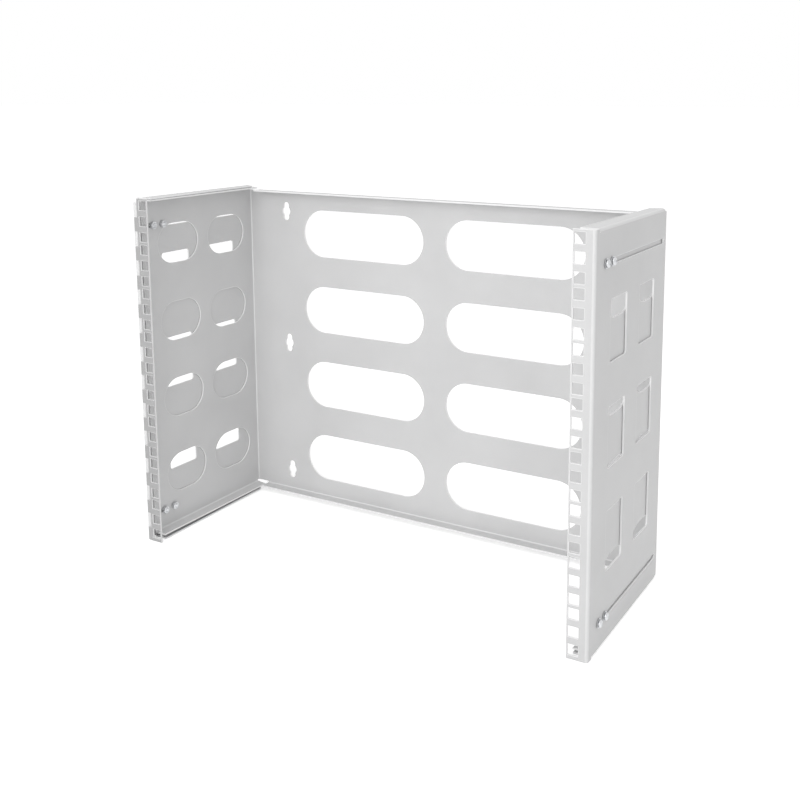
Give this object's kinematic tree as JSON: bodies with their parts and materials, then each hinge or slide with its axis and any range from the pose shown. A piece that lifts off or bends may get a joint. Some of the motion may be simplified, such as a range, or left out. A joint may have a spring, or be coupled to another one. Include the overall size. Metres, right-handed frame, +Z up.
{
  "type": "wall mount open frame rack",
  "caption": "Wall mount open frame rack of folded steel sheet: slotted back, two sliding sides, one fixed rail and one rail on a long hinge.",
  "frame": {"origin": "middle of the underside, midway between the front of the rails and the wall", "axes": "+X to the right across the rack, +Y from the rails to the wall, +Z up"},
  "size_m": [0.4992, 0.1766, 0.3584],
  "materials": {
    "grey_coat": "light grey powder coat with a fine texture",
    "zinc": "bright zinc plated",
    "pin_steel": "drawn wire"
  },
  "bodies": {
    "frame_body": {"wall_frame": "grey_coat", "clamp_screw_left_bottom": "zinc", "clamp_washer_left_bottom": "zinc", "clamp_nut_left_bottom": "zinc", "clamp_screw_left_top": "zinc", "clamp_washer_left_top": "zinc", "clamp_nut_left_top": "zinc", "clamp_screw_right_bottom": "zinc", "clamp_washer_right_bottom": "zinc", "clamp_nut_right_bottom": "zinc", "clamp_screw_right_top": "zinc", "clamp_washer_right_top": "zinc", "clamp_nut_right_top": "zinc"},
    "left_side_body": {"left_side": "grey_coat", "hinge_pin": "pin_steel", "lock_screw_left_bottom": "zinc", "lock_washer_left_bottom": "zinc", "lock_nut_left_bottom": "zinc", "lock_screw_left_top": "zinc", "lock_washer_left_top": "zinc", "lock_nut_left_top": "zinc"},
    "right_side_body": {"right_side": "grey_coat", "lock_screw_right_bottom": "zinc", "lock_washer_right_bottom": "zinc", "lock_nut_right_bottom": "zinc", "lock_screw_right_top": "zinc", "lock_washer_right_top": "zinc", "lock_nut_right_top": "zinc"},
    "left_rail_body": {"left_rail": "grey_coat"}
  },
  "joints": [
    {"name": "left_side_slide", "type": "slide", "parent": "frame_body", "child": "left_side_body", "axis": [0, -1, 0], "range_m": [0, 0.129]},
    {"name": "right_side_slide", "type": "slide", "parent": "frame_body", "child": "right_side_body", "axis": [0, -1, 0], "range_m": [0, 0.129]},
    {"name": "left_rail_swing", "type": "hinge", "parent": "left_side_body", "child": "left_rail_body", "pos_m": [-0.2433, -0.08575, 0.1792], "axis": [0, 0, -1], "range_deg": [0, 180]}
  ]
}
